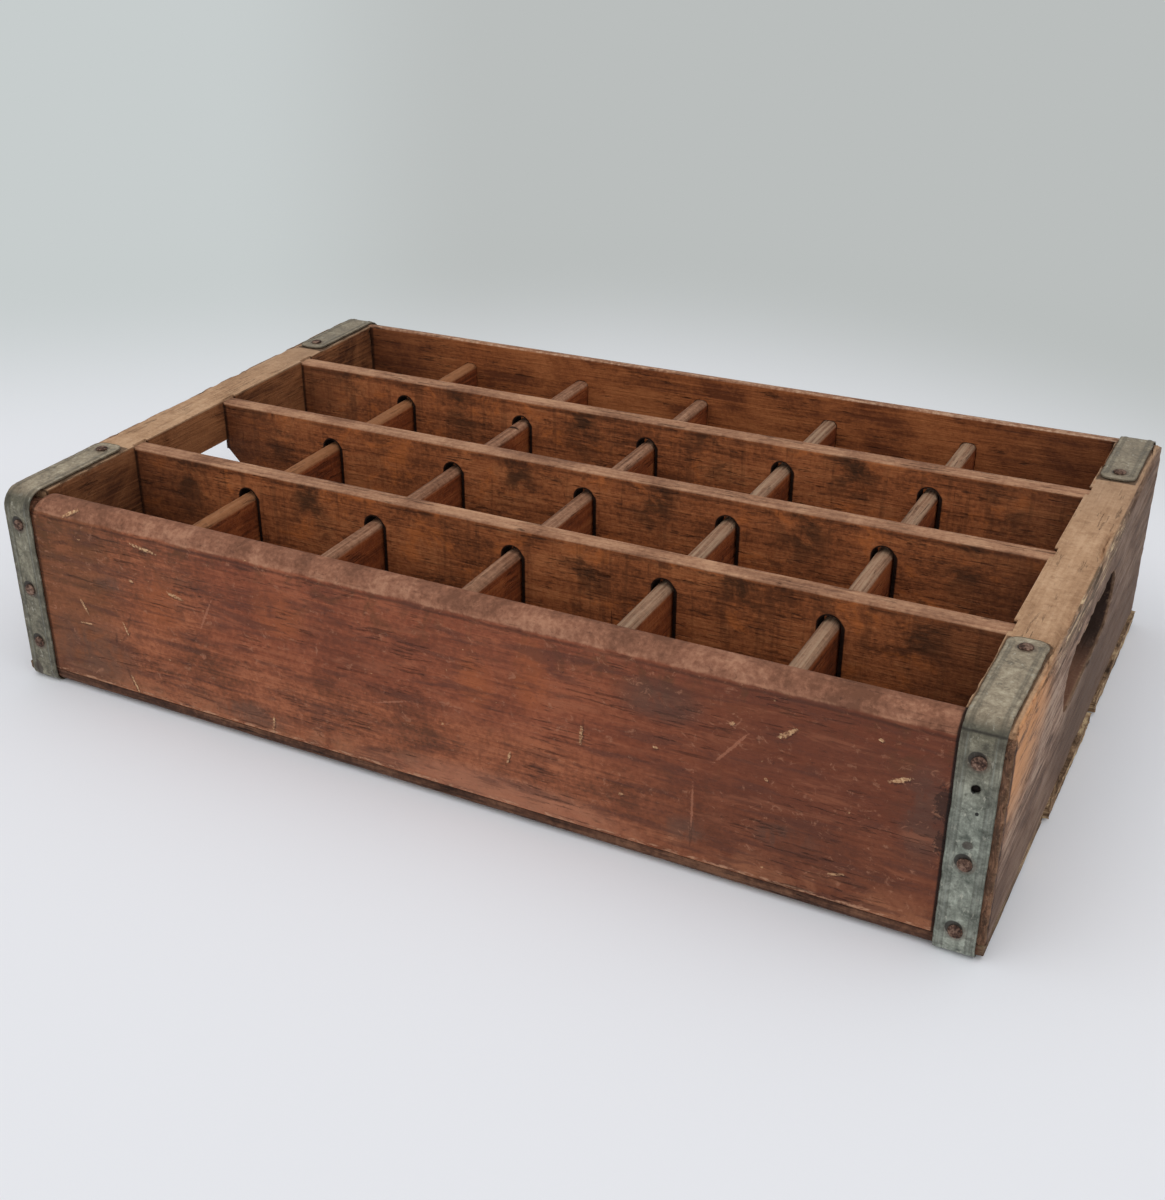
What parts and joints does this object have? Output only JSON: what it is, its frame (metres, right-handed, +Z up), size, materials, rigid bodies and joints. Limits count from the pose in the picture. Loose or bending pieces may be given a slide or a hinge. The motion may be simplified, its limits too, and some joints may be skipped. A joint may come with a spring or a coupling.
{
  "type": "wooden drink crate",
  "caption": "Shallow wooden drink crate with an interlocked divider grid of open bottle cells, hand holes in thick end boards and galvanised straps nailed round its corners.",
  "frame": {"origin": "centre of the crate's footprint, on the surface that it stands on", "axes": "+X along the crate's length towards the right-hand end board, +Y from the front side board to the back one, +Z up out of the open top"},
  "size_m": [0.471, 0.3008, 0.101],
  "materials": {
    "end_board_wood": "bare, sawn and handled, greyed and splintered at the edges",
    "side_board_wood": "worn reddish-brown stain over planed board, matte",
    "bottom_board_wood": "rough sawn, weathered, matte",
    "divider_wood": "bare orange-brown board with dark stains, matte",
    "slat_wood": "bare board with rounded top edge, matte",
    "galvanised_steel": "dull grey-green zinc with scuffs",
    "rusted_steel": "brown rust, matte"
  },
  "bodies": {
    "root": {"bottom_board_back": "bottom_board_wood", "bottom_board_front": "bottom_board_wood", "bottom_board_middle": "bottom_board_wood", "bottom_nail_back_1": "rusted_steel", "bottom_nail_back_2": "rusted_steel", "bottom_nail_back_3": "rusted_steel", "bottom_nail_back_4": "rusted_steel", "bottom_nail_front_1": "rusted_steel", "bottom_nail_front_2": "rusted_steel", "bottom_nail_front_3": "rusted_steel", "bottom_nail_front_4": "rusted_steel", "bottom_nail_left_1": "rusted_steel", "bottom_nail_left_2": "rusted_steel", "bottom_nail_left_3": "rusted_steel", "bottom_nail_left_4": "rusted_steel", "bottom_nail_right_1": "rusted_steel", "bottom_nail_right_2": "rusted_steel", "bottom_nail_right_3": "rusted_steel", "bottom_nail_right_4": "rusted_steel", "cross_slat_1": "slat_wood", "cross_slat_2": "slat_wood", "cross_slat_3": "slat_wood", "cross_slat_4": "slat_wood", "cross_slat_5": "slat_wood", "end_board_left": "end_board_wood", "end_board_right": "end_board_wood", "long_divider_1": "divider_wood", "long_divider_2": "divider_wood", "long_divider_3": "divider_wood", "side_board_back": "side_board_wood", "side_board_front": "side_board_wood", "strap_back_left": "galvanised_steel", "strap_back_right": "galvanised_steel", "strap_face_nail_back_left_1": "rusted_steel", "strap_face_nail_back_left_2": "rusted_steel", "strap_face_nail_back_left_3": "rusted_steel", "strap_face_nail_back_right_1": "rusted_steel", "strap_face_nail_back_right_2": "rusted_steel", "strap_face_nail_back_right_3": "rusted_steel", "strap_face_nail_front_left_1": "rusted_steel", "strap_face_nail_front_left_2": "rusted_steel", "strap_face_nail_front_left_3": "rusted_steel", "strap_face_nail_front_right_1": "rusted_steel", "strap_face_nail_front_right_2": "rusted_steel", "strap_face_nail_front_right_3": "rusted_steel", "strap_front_left": "galvanised_steel", "strap_front_right": "galvanised_steel", "strap_top_nail_back_left": "rusted_steel", "strap_top_nail_back_right": "rusted_steel", "strap_top_nail_front_left": "rusted_steel", "strap_top_nail_front_right": "rusted_steel", "strap_under_nail_back_left": "rusted_steel", "strap_under_nail_back_right": "rusted_steel", "strap_under_nail_front_left": "rusted_steel", "strap_under_nail_front_right": "rusted_steel"}
  },
  "joints": []
}
